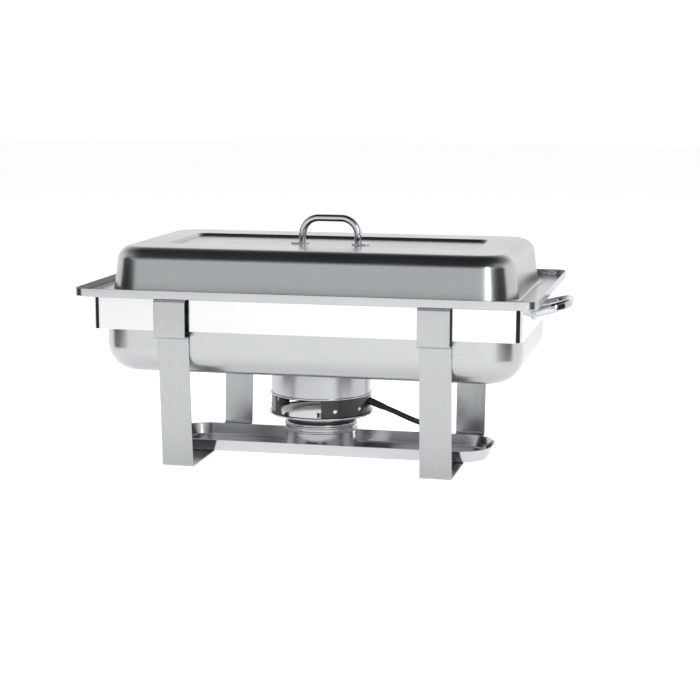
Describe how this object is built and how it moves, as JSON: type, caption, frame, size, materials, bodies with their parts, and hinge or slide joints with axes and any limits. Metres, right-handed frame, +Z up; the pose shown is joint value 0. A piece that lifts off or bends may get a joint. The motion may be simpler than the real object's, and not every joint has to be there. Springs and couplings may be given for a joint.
{
  "type": "electric buffet server",
  "caption": "Rectangular buffet server: water pan and food pan under a domed lid on a strip stand, with a round electric heating unit on a tray below and its mains lead coiled behind.",
  "frame": {"origin": "middle of the stand on the table, under the centre of the pans", "axes": "+X along the long side to the right, +Y to the back, +Z up"},
  "size_m": [0.6334, 0.382, 0.312],
  "materials": {
    "satin_steel": "fine brushed stainless steel",
    "polished_steel": "mirror polished stainless steel",
    "chrome_plate": "bright chrome plate",
    "zinc_steel": "zinc plated steel",
    "satin_aluminium": "spun aluminium",
    "black_enamel": "black heat-proof enamel",
    "element_steel": "heat-tinted steel sheath",
    "ceramic_board": "ceramic fibre board and steatite",
    "brass_parts": "plain brass",
    "black_rubber": "black rubber",
    "black_strap": "woven hook-and-loop strap",
    "nickel_pins": "nickel plated brass"
  },
  "bodies": {
    "stand": {"frame_band": "polished_steel", "leg_left": "satin_steel", "leg_right": "satin_steel", "burner_tray": "satin_steel", "end_handle_left": "chrome_plate", "end_handle_right": "chrome_plate", "end_handle_rivets": "zinc_steel", "heater_can": "satin_aluminium", "can_spacer": "black_enamel", "heater_dish": "satin_aluminium", "column_bolt": "zinc_steel", "column_nut": "zinc_steel", "heater_cage": "black_enamel", "cage_rivets": "zinc_steel", "drum_base": "satin_aluminium", "drum_shell": "satin_aluminium", "drum_foot_screws": "zinc_steel", "hot_plate": "satin_aluminium", "heating_element": "element_steel", "element_bracket": "zinc_steel", "element_screw": "zinc_steel", "insulation_disc": "ceramic_board", "disc_spacers": "zinc_steel", "thermostat": "element_steel", "thermal_fuse": "ceramic_board", "terminal_block": "ceramic_board", "terminal_screws": "brass_parts", "earth_screw": "brass_parts", "lead_bushing": "black_rubber", "internal_leads": "black_rubber", "cord_tail": "black_rubber", "cable_gland": "black_rubber", "cord_run": "black_rubber", "cord_coil": "black_rubber", "cord_end": "black_rubber", "cord_tie": "black_strap", "plug_body": "black_rubber", "plug_pins": "nickel_pins"},
    "water_pan": {"water_pan": "satin_steel", "water_pan_edge": "satin_steel"},
    "food_pan": {"food_pan": "satin_steel", "food_pan_rim": "satin_steel"},
    "lid": {"lid_shell": "satin_steel", "lid_handle": "chrome_plate", "lid_handle_screws": "zinc_steel", "lid_handle_washers": "zinc_steel"}
  },
  "joints": [
    {"name": "water_pan_lift", "type": "slide", "parent": "stand", "child": "water_pan", "axis": [0, 0, 1], "range_m": [0, 0.12]},
    {"name": "food_pan_lift", "type": "slide", "parent": "water_pan", "child": "food_pan", "axis": [0, 0, 1], "range_m": [0, 0.085]},
    {"name": "lid_lift", "type": "slide", "parent": "food_pan", "child": "lid", "axis": [0, 0, 1], "range_m": [0, 0.08]}
  ]
}
